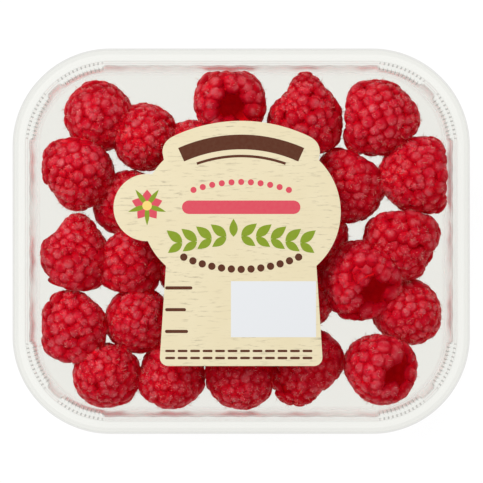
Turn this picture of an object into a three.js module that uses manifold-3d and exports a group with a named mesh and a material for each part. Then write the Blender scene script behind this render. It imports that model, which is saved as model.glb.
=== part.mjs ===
// A sealed clear punnet of raspberries: a thermoformed tray, one layer of fruit,
// a clear lidding film and a die-cut paper label stuck on the film.
// Millimetres, +Z up, +X along the long side, origin at the centre of the underside.

import * as THREE from 'three';
import { ConvexGeometry } from 'three/addons/geometries/ConvexGeometry.js';
import { mergeVertices } from 'three/addons/utils/BufferGeometryUtils.js';
import Module from 'manifold-3d';

const wasm = await Module();
wasm.setup();

// Tray: the rim is the widest part, and every wall size is an inset from the rim's mouth.
const RIM_LENGTH = 143;
const RIM_DEPTH = 120.5;
const RIM_CORNER = 30.6;
const RIM_WIDTH = 4.5;
const RIM_TOP = 29.4;
const WALL = 0.7;
const LEDGE_TOP = 26.4;
const LEDGE_FOOT = 25.2;
const LEDGE_INSET = 1.15;
const WALL_FOOT = 3.2;
const WALL_FOOT_INSET = 2.3;
const FLOOR_FILLET = 2.2;
const FLUTE_PITCH = 6.8;
const FLUTE_DEPTH = 0.45;
const LUG_DEPTH = 0.8;
const LUG_FIRST_ANGLE = 4;
const LUG_LAST_ANGLE = 40;
const LUG_EDGE_ANGLE = 3;

// Film and label lie flat on the rim, one on the other, and reach the height of 30.
const FILM_GAP = 0.05;
const FILM_THICKNESS = 0.3;
const FILM_INSET = 0.5;
const LABEL_THICKNESS = 0.2;

// Fruit: raspberries lie a little above the floor and stay clear of the wall and the film.
const FRUIT_GAP = 0.35;
const DRUPELETS = 32;
const APEX = 1.05;
const CREASE = 0.94;
const OPEN_END_SQUARENESS = 4.2;
const SWELL_FOCUS = 9;
const LINK_RADIUS = 4.2;
const LINK_SIDES = 6;

// The hollow's radius in widths and its height in lengths, from the mouth to the end.
const HOLLOW_PROFILE = [[0, -0.62], [0.31, -0.62], [0.24, -0.36], [0.12, 0.1], [0, 0.14]];
const HOLLOW_SIDES = 8;

// One row for each raspberry: x, y, width, length, the way its tip points as a
// compass angle from +X and a rise above level, its lift off the floor, how much it
// narrows to the tip, whether the hollow of its open end shows, and its swellings,
// each a compass angle and a height above the even shape.
const RASPBERRIES = [
  [-45.2, 39.7, 21.0, 20.5, 135, 75, 0.5, 0.16, false, [[95, 0.8], [-80, 0.4], [170, 0.3]]],
  [-30.4, 32.1, 20.2, 21.0, -60, 70, 1.0, 0.16, false, [[42, 0.9], [195, -0.5]]],
  [-15.2, 28.6, 19.5, 19.0, 40, 60, 0.0, 0.16, false, []],
  [-3.8, 44.0, 22.0, 20.0, 120, -72, 1.5, 0.16, true, [[45, 0.3], [140, 0.9], [92, 0.8]]],
  [20.2, 40.7, 23.0, 24.4, 90, 15, 1.0, 0.44, false, [[92, 0.8], [204, 0.8], [145, -3.2], [52, -0.5]]],
  [44.9, 38.7, 23.5, 22.8, -4, 12, 0.5, 0.28, true, [[224, 0.8], [172, 0.5]]],
  [-51.2, 20.1, 22.8, 21.4, -98, 18, 0.5, 0.3, true, [[37, -2.2], [145, 0.7], [206, -1.1]]],
  [-34.4, 12.8, 19.2, 19.5, 20, 55, 0.0, 0.16, false, [[214, 1.4]]],
  [32.4, 15.9, 23.2, 20.8, -123, 20, 0.0, 0.2, false, [[100, 0.5]]],
  [53.3, 20.7, 23.6, 21.0, 182, 12, 0.5, 0.3, true, [[-42, 1.2], [47, 0.9]]],
  [-52.4, -2.8, 22.0, 23.6, 82, 15, 0.5, 0.4, false, [[228, -3.9], [142, -2.8]]],
  [-34.6, -5.6, 19.6, 20.5, 75, 25, 2.0, 0.2, false, [[225, 0.3], [305, 0.8], [260, -2.7]]],
  [50.4, -2.2, 24.2, 19.8, -95, 22, 1.0, 0.32, false, [[30, 0.5], [-16, -3.7], [-62, 1.3], [115, -0.7]]],
  [23.4, 2.3, 20.2, 20.0, 90, 60, 0.0, 0.16, false, []],
  [-52.2, -26.0, 20.2, 21.7, 82, 25, 0.5, 0.16, false, [[222, 0.3], [136, 2.1], [56, -1.5]]],
  [-32.2, -24.7, 20.6, 20.5, 30, 80, 0.0, 0.16, false, [[225, -0.5]]],
  [37.2, -11.0, 23.5, 23.4, 128, -50, 2.5, 0.18, true, [[215, 0.9], [110, 0.5], [-70, -0.7], [240, 1.3]]],
  [53.2, -22.5, 20.5, 20.4, -20, 40, 0.0, 0.16, false, [[-52, 0.9], [199, -0.8]]],
  [19.5, -18.0, 20.4, 20.0, -60, 55, 0.0, 0.16, false, []],
  [-42.5, -41.6, 20.4, 20.0, 60, 80, 0.5, 0.16, false, [[96, -1.6], [-48, 1], [5, 0.7]]],
  [-22.1, -43.0, 20.4, 21.0, -90, 50, 0.0, 0.16, false, [[205, 0.9], [-10, 0.9], [147, -2.4]]],
  [-0.2, -42.9, 21.2, 21.4, -85, 52, 0.5, 0.16, false, [[-40, 0.5], [178, 0.6]]],
  [20.6, -39.8, 21.0, 22.0, -122, 30, 0.0, 0.16, false, [[-50, -2.4], [254, 2], [216, 2.4], [28, -0.6]]],
  [42.5, -40.1, 21.4, 21.2, 172, -50, 1.5, 0.16, true, [[139, 0.9], [220, -1.2], [-90, 0.4]]],
  [-16.5, 11.0, 21.0, 20.5, 120, 75, 0.5, 0.16, false, []],
  [5.0, 21.0, 21.5, 20.5, 10, 65, 0.0, 0.16, false, []],
  [-14.8, -9.0, 21.0, 20.5, -30, 70, 0.0, 0.16, false, []],
  [4.8, 0.0, 21.5, 21.0, 80, 60, 1.0, 0.16, false, []],
  [-15.0, -26.8, 20.0, 20.0, 150, 65, 0.5, 0.16, false, []],
  [1.8, -21.0, 20.0, 20.0, 20, 70, 0.0, 0.16, false, []],
];

// Label: a round plate with an arched head, a round lobe at its left and a square tail.
const LABEL_MIDDLE = 0.0;
const PLATE_CENTRE_X = 8.6;
const PLATE_CENTRE_Y = 9.15;
const PLATE_RADIUS = 22.5;
const HEAD_HALF_WIDTH = 24.6;
const HEAD_SHOULDER_Y = 31.0;
const HEAD_CROWN_Y = 37.6;
const HEAD_FOOT_Y = 25.4;
const HEAD_SHOULDER = 3.2;
const LOBE_X = -29.4;
const LOBE_Y = 10.5;
const LOBE_RADIUS = 10.5;
const TAIL_HALF_WIDTH = 25.4;
const TAIL_TOP_Y = -7.7;
const TAIL_FOOT_Y = -39.0;
const TAIL_CORNER = 2.6;

const radians = THREE.MathUtils.degToRad;

function finish(name, geometry, colour, roughness) {
  const material = new THREE.MeshStandardMaterial({ color: colour, roughness, metalness: 0 });
  const mesh = new THREE.Mesh(geometry, material);
  mesh.name = name;
  return mesh;
}

function indexedGeometry(points, triangles) {
  const geometry = new THREE.BufferGeometry();
  geometry.setAttribute('position', new THREE.Float32BufferAttribute(points.flat(), 3));
  geometry.setIndex(triangles.flat());
  return geometry;
}

function toSolid(geometry) {
  const bare = geometry.clone();
  bare.deleteAttribute('normal');
  bare.deleteAttribute('uv');
  const merged = mergeVertices(bare, 1e-4);
  return new wasm.Manifold(new wasm.Mesh({
    numProp: 3,
    vertProperties: new Float32Array(merged.attributes.position.array),
    triVerts: new Uint32Array(merged.index.array),
  }));
}

function fromSolid(solid) {
  const mesh = solid.getMesh();
  const geometry = new THREE.BufferGeometry();
  geometry.setAttribute('position', new THREE.BufferAttribute(mesh.vertProperties, 3));
  geometry.setIndex(new THREE.BufferAttribute(mesh.triVerts, 1));
  return geometry;
}

// The rim's outline as stations, anticlockwise from the lower end of the right side.
// Each station has its point on the outline, its outward direction, how far it
// stands in a flute of a straight side, and how far in a stacking lug of a corner.
function rimStations() {
  const stations = [];
  const straights = [
    [RIM_DEPTH - 2 * RIM_CORNER, 0],
    [RIM_LENGTH - 2 * RIM_CORNER, 90],
    [RIM_DEPTH - 2 * RIM_CORNER, 180],
    [RIM_LENGTH - 2 * RIM_CORNER, 270],
  ];
  const lugAngles = [
    0, LUG_FIRST_ANGLE, LUG_FIRST_ANGLE + LUG_EDGE_ANGLE, 17, 27,
    LUG_LAST_ANGLE - LUG_EDGE_ANGLE, LUG_LAST_ANGLE,
  ];
  const cornerAngles = [...lugAngles, ...lugAngles.toReversed().map((a) => 90 - a)];
  for (const [length, facing] of straights) {
    const outward = new THREE.Vector2(Math.cos(radians(facing)), Math.sin(radians(facing)));
    const along = new THREE.Vector2(-outward.y, outward.x);
    const reach = facing % 180 === 0 ? RIM_LENGTH / 2 : RIM_DEPTH / 2;
    const flutes = Math.round(length / FLUTE_PITCH);
    for (let half = 1; half < 2 * flutes; half += 1) {
      const s = length * (half / (2 * flutes) - 0.5);
      const point = outward.clone().multiplyScalar(reach).addScaledVector(along, s);
      stations.push({ point, outward, flute: half % 2, lug: 0, corner: false });
    }
    const centre = outward.clone().multiplyScalar(reach - RIM_CORNER)
      .addScaledVector(along, length / 2);
    for (const angle of cornerAngles) {
      const fromEdge = Math.min(angle, 90 - angle);
      const inside = Math.min(fromEdge - LUG_FIRST_ANGLE, LUG_LAST_ANGLE - fromEdge);
      const lug = THREE.MathUtils.clamp(inside / LUG_EDGE_ANGLE, 0, 1);
      const turn = radians(facing + angle);
      const direction = new THREE.Vector2(Math.cos(turn), Math.sin(turn));
      const point = centre.clone().addScaledVector(direction, RIM_CORNER);
      stations.push({ point, outward: direction, flute: 0, lug, corner: true });
    }
  }
  return stations;
}

// A ring of the tray at one height: inset is measured from the rim's outer edge.
function ring(stations, z, inset, fluteDepth = 0, lugDepth = 0) {
  return stations.map(({ point, outward, flute, lug }) => {
    const depth = inset + fluteDepth * flute + lugDepth * lug;
    const place = point.clone().addScaledVector(outward, -depth);
    return [place.x, place.y, z];
  });
}

// Closed skin through a list of rings, with a flat cap on the first and the last.
function skin(rings) {
  const count = rings[0].length;
  const points = rings.flat();
  const triangles = [];
  for (let level = 0; level + 1 < rings.length; level += 1) {
    for (let i = 0; i < count; i += 1) {
      const a = level * count + i;
      const b = level * count + (i + 1) % count;
      triangles.push([a, b, b + count], [a, b + count, a + count]);
    }
  }
  const lowest = points.push([0, 0, rings[0][0][2]]) - 1;
  const highest = points.push([0, 0, rings[rings.length - 1][0][2]]) - 1;
  const top = (rings.length - 1) * count;
  for (let i = 0; i < count; i += 1) {
    const next = (i + 1) % count;
    triangles.push([lowest, next, i], [highest, top + i, top + next]);
  }
  return indexedGeometry(points, triangles);
}

// The inner face of the wall from the floor up to the mouth; a grow above 0
// moves it outwards through the wall's thickness, and one below 0 into the room.
function wallRings(stations, grow) {
  const mouth = RIM_WIDTH - grow;
  const floor = WALL - grow;
  const foot = mouth + WALL_FOOT_INSET;
  const fillet = FLOOR_FILLET * (1 - Math.SQRT1_2);
  return [
    ring(stations, floor, foot + FLOOR_FILLET),
    ring(stations, floor + fillet, foot + fillet, FLUTE_DEPTH / 3, 0),
    ring(stations, WALL_FOOT, foot, FLUTE_DEPTH, LUG_DEPTH / 3),
    ring(stations, LEDGE_FOOT - grow, mouth + LEDGE_INSET, FLUTE_DEPTH, LUG_DEPTH),
    ring(stations, LEDGE_TOP - grow, mouth + LEDGE_INSET / 3, 0, LUG_DEPTH / 3),
  ];
}

function makeTray(stations) {
  const outside = wallRings(stations, WALL);
  const inside = wallRings(stations, 0).reverse();
  const rim = [
    ring(stations, RIM_TOP - WALL, RIM_WIDTH - WALL),
    ring(stations, RIM_TOP - WALL, 0),
    ring(stations, RIM_TOP, 0),
    ring(stations, RIM_TOP, RIM_WIDTH),
  ];
  return skin([...outside, ...rim, ...inside]);
}

// The room that the fruit may fill: the inside of the wall, drawn in by the gap.
function makeRoom(stations) {
  const top = RIM_TOP + FILM_GAP - FRUIT_GAP;
  return skin([
    ...wallRings(stations, -FRUIT_GAP),
    ring(stations, top, RIM_WIDTH + FRUIT_GAP),
  ]);
}

function makeFilm(stations) {
  const corners = stations.filter(({ corner }) => corner);
  const foot = RIM_TOP + FILM_GAP;
  return skin([
    ring(corners, foot, FILM_INSET),
    ring(corners, foot + FILM_THICKNESS, FILM_INSET),
  ]);
}

// Points spread evenly over a ball along a golden spiral, from the tip to the open end.
function spiralDirections(count, turn) {
  const golden = Math.PI * (3 - Math.sqrt(5));
  return Array.from({ length: count }, (_, i) => {
    const z = 1 - (2 * i + 1) / count;
    const around = i * golden + turn;
    const r = Math.sqrt(1 - z * z);
    return new THREE.Vector3(r * Math.cos(around), r * Math.sin(around), z);
  });
}

// A raspberry's skin: it narrows to a round tip and is square and flat at the open end.
function onRaspberry(direction, { width, length, narrowing }, relief) {
  const power = direction.z < 0 ? OPEN_END_SQUARENESS : 2;
  const side = Math.hypot(direction.x, direction.y);
  const reach = (side ** power + Math.abs(direction.z) ** power) ** (1 / power);
  const taper = direction.z > 0 ? 1 - narrowing * direction.z : 1;
  return [
    direction.x / reach * taper * relief * width / 2,
    direction.y / reach * taper * relief * width / 2,
    direction.z / reach * relief * length / 2,
  ];
}

// Each direction becomes the top of a drupelet, and each hull triangle between
// three of them the bottom of the crease where they meet.
function makeRaspberry(size, turn) {
  const tops = spiralDirections(DRUPELETS, turn);
  const bare = new ConvexGeometry(tops);
  bare.deleteAttribute('normal');
  const hull = mergeVertices(bare, 1e-5);
  const corners = hull.attributes.position;
  const vertices = Array.from({ length: corners.count }, (_, i) => (
    new THREE.Vector3().fromBufferAttribute(corners, i)));
  const points = vertices.map((v) => onRaspberry(v, size, APEX));
  const creaseOf = new Map();
  const edges = [];
  for (let i = 0; i < hull.index.count; i += 3) {
    const trio = [0, 1, 2].map((k) => hull.index.getX(i + k));
    const middle = new THREE.Vector3();
    trio.forEach((k) => middle.add(vertices[k]));
    const crease = points.push(onRaspberry(middle.normalize(), size, CREASE)) - 1;
    trio.forEach((a, k) => {
      const b = trio[(k + 1) % 3];
      creaseOf.set(`${a} ${b}`, crease);
      edges.push([a, b]);
    });
  }
  const triangles = edges.map(([a, b]) => (
    [a, creaseOf.get(`${b} ${a}`), creaseOf.get(`${a} ${b}`)]));
  return indexedGeometry(points, triangles);
}

// Moves a placed raspberry's points out, or in, near its swellings' compass angles.
function swell(geometry, centre, swellings) {
  const place = geometry.attributes.position;
  const point = new THREE.Vector3();
  for (let i = 0; i < place.count; i += 1) {
    const offset = point.fromBufferAttribute(place, i).sub(centre);
    const direction = offset.clone().normalize();
    for (const [compass, height] of swellings) {
      const along = direction.x * Math.cos(radians(compass))
        + direction.y * Math.sin(radians(compass));
      offset.addScaledVector(direction, height * Math.exp(SWELL_FOCUS * (along - 1)));
    }
    place.setXYZ(i, offset.x + centre.x, offset.y + centre.y, offset.z + centre.z);
  }
  return geometry;
}

// The hollow that the stalk's plug leaves, open at the flat end of the raspberry.
function makeHollow({ width, length }) {
  const profile = HOLLOW_PROFILE.map(([radius, height]) => (
    new THREE.Vector2(radius * width, height * length)));
  return new THREE.LatheGeometry(profile, HOLLOW_SIDES).rotateX(Math.PI / 2);
}

function raspberryPlace([x, y, width, length, compass, rise, lift]) {
  const up = Math.abs(Math.sin(radians(rise))) * length / 2;
  const side = Math.cos(radians(rise)) * width / 2;
  const z = WALL + FRUIT_GAP + APEX * Math.hypot(up, side) + lift;
  const tip = new THREE.Vector3(Math.cos(radians(compass)), Math.sin(radians(compass)), 0);
  tip.multiplyScalar(Math.cos(radians(rise))).setZ(Math.sin(radians(rise)));
  const turn = new THREE.Quaternion().setFromUnitVectors(new THREE.Vector3(0, 0, 1), tip);
  return new THREE.Matrix4().compose(new THREE.Vector3(x, y, z), turn, new THREE.Vector3(1, 1, 1));
}

// Short rods between the middles of neighbours, so that the heap is one body.
function makeLinks(centres) {
  const reached = [centres[0]];
  const waiting = centres.slice(1);
  const links = [];
  while (waiting.length) {
    let best = { gap: Infinity };
    for (const from of reached) {
      for (const to of waiting) {
        const gap = from.distanceTo(to);
        if (gap < best.gap) best = { gap, from, to };
      }
    }
    waiting.splice(waiting.indexOf(best.to), 1);
    reached.push(best.to);
    const along = best.to.clone().sub(best.from).normalize();
    const turn = new THREE.Quaternion().setFromUnitVectors(new THREE.Vector3(0, 1, 0), along);
    const middle = best.from.clone().lerp(best.to, 0.5);
    const rod = new THREE.CylinderGeometry(LINK_RADIUS, LINK_RADIUS, best.gap, LINK_SIDES);
    links.push(rod.applyQuaternion(turn).translate(middle.x, middle.y, middle.z));
  }
  return links;
}

// The heap: raspberries less their hollows, joined and kept to the room in the tray.
// Pockets that the fruit shuts in are filled, as only the outermost skin is kept.
function makeFruit(stations) {
  const centres = [];
  const hollows = [];
  const fruit = [];
  RASPBERRIES.forEach((row, i) => {
    const [, , width, length, , , , narrowing, open, swellings] = row;
    const size = { width, length, narrowing };
    const place = raspberryPlace(row);
    const centre = new THREE.Vector3().setFromMatrixPosition(place);
    centres.push(centre);
    fruit.push(toSolid(swell(makeRaspberry(size, i).applyMatrix4(place), centre, swellings)));
    if (open) hollows.push(toSolid(makeHollow(size).applyMatrix4(place)));
  });
  const links = makeLinks(centres).map(toSolid);
  const join = (solids) => solids.reduce((sum, solid) => sum.add(solid));
  const heap = join(fruit).subtract(join(hollows)).add(join(links));
  const skins = heap.intersect(toSolid(makeRoom(stations))).decompose();
  return fromSolid(skins.reduce((a, b) => (b.volume() > a.volume() ? b : a)));
}

// One side of the label's round plate, between two heights.
function plateArc(path, fromY, toY, side) {
  const start = Math.asin((fromY - PLATE_CENTRE_Y) / PLATE_RADIUS);
  const end = Math.asin((toY - PLATE_CENTRE_Y) / PLATE_RADIUS);
  const flip = (angle) => (side > 0 ? angle : Math.PI - angle);
  path.absarc(LABEL_MIDDLE + side * PLATE_CENTRE_X, PLATE_CENTRE_Y, PLATE_RADIUS,
    flip(start), flip(end), false);
}

// The rounded shoulder between the arched head's side and its crown.
function headShoulder(path, headRadius, headAngle, side) {
  const edgeX = LABEL_MIDDLE + side * HEAD_HALF_WIDTH;
  const crownX = LABEL_MIDDLE + side * headRadius * Math.sin(headAngle);
  const crownY = HEAD_CROWN_Y - headRadius * (1 - Math.cos(headAngle));
  const sideY = HEAD_SHOULDER_Y - HEAD_SHOULDER;
  if (side > 0) {
    path.lineTo(edgeX, sideY);
    path.quadraticCurveTo(edgeX, HEAD_SHOULDER_Y, crownX, crownY);
  } else {
    path.quadraticCurveTo(edgeX, HEAD_SHOULDER_Y, edgeX, sideY);
  }
}

// The label's outline, anticlockwise from the tail's lower right corner.
function labelShape() {
  const left = LABEL_MIDDLE - TAIL_HALF_WIDTH;
  const right = LABEL_MIDDLE + TAIL_HALF_WIDTH;
  const outline = new THREE.Shape();
  const sagitta = HEAD_CROWN_Y - HEAD_SHOULDER_Y;
  const headRadius = (HEAD_HALF_WIDTH ** 2 + sagitta ** 2) / (2 * sagitta);
  const headAngle = Math.asin((HEAD_HALF_WIDTH - HEAD_SHOULDER) / headRadius);
  const neck = lobeAngles();
  outline.absarc(right - TAIL_CORNER, TAIL_FOOT_Y + TAIL_CORNER, TAIL_CORNER,
    -Math.PI / 2, 0, false);
  outline.lineTo(right, TAIL_TOP_Y);
  plateArc(outline, TAIL_TOP_Y, HEAD_FOOT_Y, 1);
  headShoulder(outline, headRadius, headAngle, 1);
  outline.absarc(LABEL_MIDDLE, HEAD_CROWN_Y - headRadius, headRadius,
    Math.PI / 2 - headAngle, Math.PI / 2 + headAngle, false);
  headShoulder(outline, headRadius, headAngle, -1);
  plateArc(outline, HEAD_FOOT_Y, neck.upperY, -1);
  outline.absarc(LOBE_X, LOBE_Y, LOBE_RADIUS, neck.start, neck.end, false);
  plateArc(outline, neck.lowerY, TAIL_TOP_Y, -1);
  outline.lineTo(left, TAIL_TOP_Y);
  outline.absarc(left + TAIL_CORNER, TAIL_FOOT_Y + TAIL_CORNER, TAIL_CORNER,
    Math.PI, 1.5 * Math.PI, false);
  return outline;
}

// The two places where the lobe's circle leaves the plate's left edge.
function lobeAngles() {
  const centreX = LABEL_MIDDLE - PLATE_CENTRE_X;
  const apart = Math.hypot(LOBE_X - centreX, LOBE_Y - PLATE_CENTRE_Y);
  const heading = Math.atan2(PLATE_CENTRE_Y - LOBE_Y, centreX - LOBE_X);
  const spread = Math.acos(
    (apart ** 2 + LOBE_RADIUS ** 2 - PLATE_RADIUS ** 2) / (2 * apart * LOBE_RADIUS));
  const start = heading + spread;
  const end = heading - spread + 2 * Math.PI;
  return {
    start,
    end,
    upperY: LOBE_Y + LOBE_RADIUS * Math.sin(start),
    lowerY: LOBE_Y + LOBE_RADIUS * Math.sin(end),
  };
}

function makeLabel() {
  const foot = RIM_TOP + FILM_GAP + FILM_THICKNESS + FILM_GAP;
  const settings = { depth: LABEL_THICKNESS, bevelEnabled: false, curveSegments: 8 };
  return new THREE.ExtrudeGeometry(labelShape(), settings).translate(0, 0, foot);
}

const stations = rimStations();
const punnet = new THREE.Group();
punnet.add(finish('tray', makeTray(stations), 0xeef0ee, 0.12));
punnet.add(finish('berries', makeFruit(stations), 0xb01426, 0.45));
punnet.add(finish('film', makeFilm(stations), 0xf4f6f5, 0.08));
punnet.add(finish('label', makeLabel(), 0xeee4c3, 0.6));

export default punnet;
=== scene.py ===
import math
from collections import namedtuple

import bmesh
import bpy
import numpy as np
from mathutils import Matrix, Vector


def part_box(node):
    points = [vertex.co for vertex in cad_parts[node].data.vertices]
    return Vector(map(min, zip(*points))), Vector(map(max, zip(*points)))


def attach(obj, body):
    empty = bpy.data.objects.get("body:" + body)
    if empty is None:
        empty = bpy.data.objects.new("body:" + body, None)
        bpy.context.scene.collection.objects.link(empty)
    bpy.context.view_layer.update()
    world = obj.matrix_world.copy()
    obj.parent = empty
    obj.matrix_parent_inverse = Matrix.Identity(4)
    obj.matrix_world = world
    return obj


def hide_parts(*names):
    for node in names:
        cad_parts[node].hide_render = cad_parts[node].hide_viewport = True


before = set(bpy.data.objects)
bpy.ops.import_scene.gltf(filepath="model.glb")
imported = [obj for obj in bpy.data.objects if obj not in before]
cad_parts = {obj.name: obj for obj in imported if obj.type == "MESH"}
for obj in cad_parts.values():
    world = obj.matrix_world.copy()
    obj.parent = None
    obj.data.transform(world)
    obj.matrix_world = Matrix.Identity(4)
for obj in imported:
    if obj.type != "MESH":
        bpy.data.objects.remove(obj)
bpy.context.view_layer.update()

# Tray: one sheet of clear plastic, drawn hot into a mould, with a flat rim and a turned
# edge, a stacking ledge, shallow flutes along its straight walls, and two finely toothed
# lugs in each corner. The rim carries the film, and the floor rests on the shelf.
# Sizes are in mm, measured inwards from the rim's outer edge and up from the shelf.
MM = 0.001
tray_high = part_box("tray")[1]
RIM_HALF_X = tray_high.x / MM
RIM_HALF_Y = tray_high.y / MM
RIM_TOP = tray_high.z / MM
RIM_CORNER = 30.6
RIM_STEP = 0.3
RIM_EDGE_RADIUS = 0.85
MOUTH_INSET = 4.5
MOUTH_RADIUS = 0.65
LEDGE_INSET = MOUTH_INSET + 0.75
LEDGE_HEIGHT = 25.0
LEDGE_RADIUS = 0.5
WALL_TOP = 24.4
WALL_FOOT_INSET = MOUTH_INSET + 2.3
SHEET = 0.6
FLOOR_FILLET = 2.2
FLUTE_PITCH = 6.8
FLUTE_DEPTH = 0.5
FLUTE_STEPS = 6
LUG_DEPTH = 0.8
LUG_ANGLES = (4.0, 40.0)
LUG_EDGE = 2.5
TEETH_PER_LUG = 12
TOOTH_STEPS = 4
TOOTH_DEPTH = 0.42
# The painted shade at the roots of the teeth, against the painted glint on their crests.
TOOTH_ROOT_PAINTED_SHADE = 2.6


def lug_share(angle):
    """How far a corner angle in degrees stands in a stacking lug, from 0 to 1."""
    from_side = min(angle, 90 - angle)
    inside = min(from_side - LUG_ANGLES[0], LUG_ANGLES[1] - from_side)
    return min(max(inside / LUG_EDGE, 0), 1)


def corner_angles():
    """The corner's stations in degrees, each with its step within a tooth of a lug."""
    lug = np.linspace(*LUG_ANGLES, TEETH_PER_LUG * TOOTH_STEPS + 1)
    half = [(0.0, 0), (2.0, 0)] + [(angle, i % TOOTH_STEPS) for i, angle in enumerate(lug)]
    return half + [(45.0, 0)] + [(90 - angle, tooth) for angle, tooth in reversed(half)]


def rim_stations():
    """The rim's outer edge: x, y, outward x and y, flute, lug and tooth at each station."""
    rows = []
    for side in range(4):
        facing = side * math.pi / 2
        out = np.array([math.cos(facing), math.sin(facing)])
        along = np.array([-out[1], out[0]])
        reach, across = (RIM_HALF_X, RIM_HALF_Y) if side % 2 == 0 else (RIM_HALF_Y, RIM_HALF_X)
        straight = across - RIM_CORNER
        steps = round(2 * straight / FLUTE_PITCH) * FLUTE_STEPS
        for step in range(1, steps):
            place = out * reach + along * (straight * (2 * step / steps - 1))
            flute = math.sin(math.pi * step / FLUTE_STEPS) ** 2
            rows.append((*place, *out, flute, 0, 0))
        centre = out * (reach - RIM_CORNER) + along * straight
        for angle, tooth in corner_angles():
            turn = facing + math.radians(angle)
            way = np.array([math.cos(turn), math.sin(turn)])
            bite = (1 - math.cos(2 * math.pi * tooth / TOOTH_STEPS)) / 2
            lug = lug_share(angle)
            rows.append((*(centre + way * RIM_CORNER), *way, 0, lug, lug * bite))
    return np.array(rows)


def arc(inset, z, radius, start, end, steps):
    """Points of a fillet in the wall's section, from one angle in degrees to another."""
    turns = np.radians(np.linspace(start, end, steps))
    return [(inset - radius * math.cos(t), z + radius * math.sin(t)) for t in turns]


def tray_section():
    """The room's side of the wall, from the floor to the rim's turned edge, in mm.

    Each row is inset from the rim's outer edge, height, the shares that the flutes,
    the lugs and the teeth take there, how strongly the teeth carry painted shade at their
    roots and a painted glint on their crests there, and how much painted shade marks the
    sheet where it is bent, for the light that the bent sheet turns aside.
    """
    foot = arc(WALL_FOOT_INSET + FLOOR_FILLET, SHEET + FLOOR_FILLET, FLOOR_FILLET, -90, 0, 6)
    ledge = arc(LEDGE_INSET, LEDGE_HEIGHT, LEDGE_RADIUS, 180, 90, 4)
    mouth = arc(MOUTH_INSET - MOUTH_RADIUS, RIM_TOP - MOUTH_RADIUS, MOUTH_RADIUS, 180, 90, 5)
    edge_z = RIM_TOP - RIM_STEP - RIM_EDGE_RADIUS
    edge = arc(RIM_EDGE_RADIUS, edge_z, RIM_EDGE_RADIUS, 90, 0, 5)
    rows = [(*point, step / 8, 0, 0, 0, step / 200) for step, point in enumerate(foot)]
    rows += [
        (WALL_FOOT_INSET - 0.2, 7.0, 0.7, 0.3, 0.0, 0, 0.02),
        (WALL_FOOT_INSET - 0.5, 12.0, 0.8, 0.5, 0.3, 0, 0.03),
        (WALL_FOOT_INSET - 0.9, 19.0, 0.6, 0.8, 0.8, 0, 0.03),
        (LEDGE_INSET + LEDGE_RADIUS, WALL_TOP, 0.4, 1, 1, 0, 0.03),
    ]
    rows += [(*point, 0.3, 1, 1, 0.45, painted_shading)
             for point, painted_shading in zip(ledge, (0.04, 0.06, 0.11, 0.13))]
    rows += [
        (MOUTH_INSET + 0.42, 25.6, 0.1, 0.9, 0.7, 0, 0.06),
        (MOUTH_INSET + 0.22, 26.1, 0, 0.1, 0.5, 0, 0.05),
        (MOUTH_INSET + 0.12, 27.6, 0, 0, 0.8, 0, 0.08),
        (MOUTH_INSET + 0.05, RIM_TOP - 0.8, 0, 0, 0.8, 0.6, 0.10),
    ]
    rows += [(*point, 0, 0, 0.5, tooth_shade_and_glint, 0.05)
             for point, tooth_shade_and_glint in zip(mouth[1:], (0.6, 0.6, 0, 0))]
    rows += [
        (MOUTH_INSET - 1.0, RIM_TOP, 0, 0, 0, 0, 0),
        (2.1, RIM_TOP, 0, 0, 0, 0, 0),
        (1.75, RIM_TOP - 0.03, 0, 0, 0, 0, 0.03),
        (1.55, RIM_TOP - 0.16, 0, 0, 0, 0, 0.05),
        (1.35, RIM_TOP - RIM_STEP, 0, 0, 0, 0, 0.06),
    ]
    rows += [(inset, z, 0, 0, 0, 0, 0.06 + 0.1 * (RIM_EDGE_RADIUS - inset)) for inset, z in edge]
    return np.array(rows)


def offset_section(rows, thickness):
    """The outer side of the sheet, a thickness away from the room's side."""
    ahead = np.gradient(rows[:, :2], axis=0)
    ahead /= np.linalg.norm(ahead, axis=1)[:, None]
    outer = rows.copy()
    outer[:, 0] -= ahead[:, 1] * thickness
    outer[:, 1] += ahead[:, 0] * thickness
    outer[0, 0] = rows[0, 0]
    outer[:, 1] = np.maximum(outer[:, 1], 0)
    return outer


def sheet_rings(stations, rows):
    """Rings of points, in metres, for the rows of a section."""
    place, out = stations[:, :2], stations[:, 2:4]
    shapes = stations[:, 4:] * (FLUTE_DEPTH, LUG_DEPTH, TOOTH_DEPTH)
    rings = []
    for inset, z, flutes, lugs, teeth, *_ in rows:
        depth = inset + shapes @ (flutes, lugs, teeth)
        ring = place - out * depth[:, None]
        rings.append(np.column_stack([ring, np.full(len(ring), z)]) * MM)
    return rings


def painted_shading_marks(stations, rows):
    """The painted shade at each point of the rings, or the painted glint where it is below zero."""
    lug, root = stations[:, 5:].T
    return [tooth_shade_and_glint * (TOOTH_ROOT_PAINTED_SHADE * root - lug) + painted_shading * (1 - lug * math.ceil(tooth_shade_and_glint))
            for *_, tooth_shade_and_glint, painted_shading in rows]


def tube_faces(rings, sides):
    """Faces of a tube of rings of points, closed by fans round the two points after them."""
    end = rings * sides
    last = end - sides
    faces = []
    for a in range(sides):
        b = (a + 1) % sides
        faces += [(a + k, b + k, b + k + sides, a + k + sides) for k in range(0, last, sides)]
        faces += [(end, b, a), (end + 1, last + a, last + b)]
    return faces


def add_object(name, data):
    """An object at the origin for a mesh, a light or a camera."""
    made = bpy.data.objects.new(name, data)
    bpy.context.collection.objects.link(made)
    return made


def mesh_piece(name, points, faces):
    """A smooth mesh object whose place is in its mesh."""
    mesh = bpy.data.meshes.new(name)
    mesh.from_pydata([tuple(point) for point in points], [], faces)
    mesh.polygons.foreach_set("use_smooth", [True] * len(mesh.polygons))
    mesh.update()
    return add_object(name, mesh)


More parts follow.
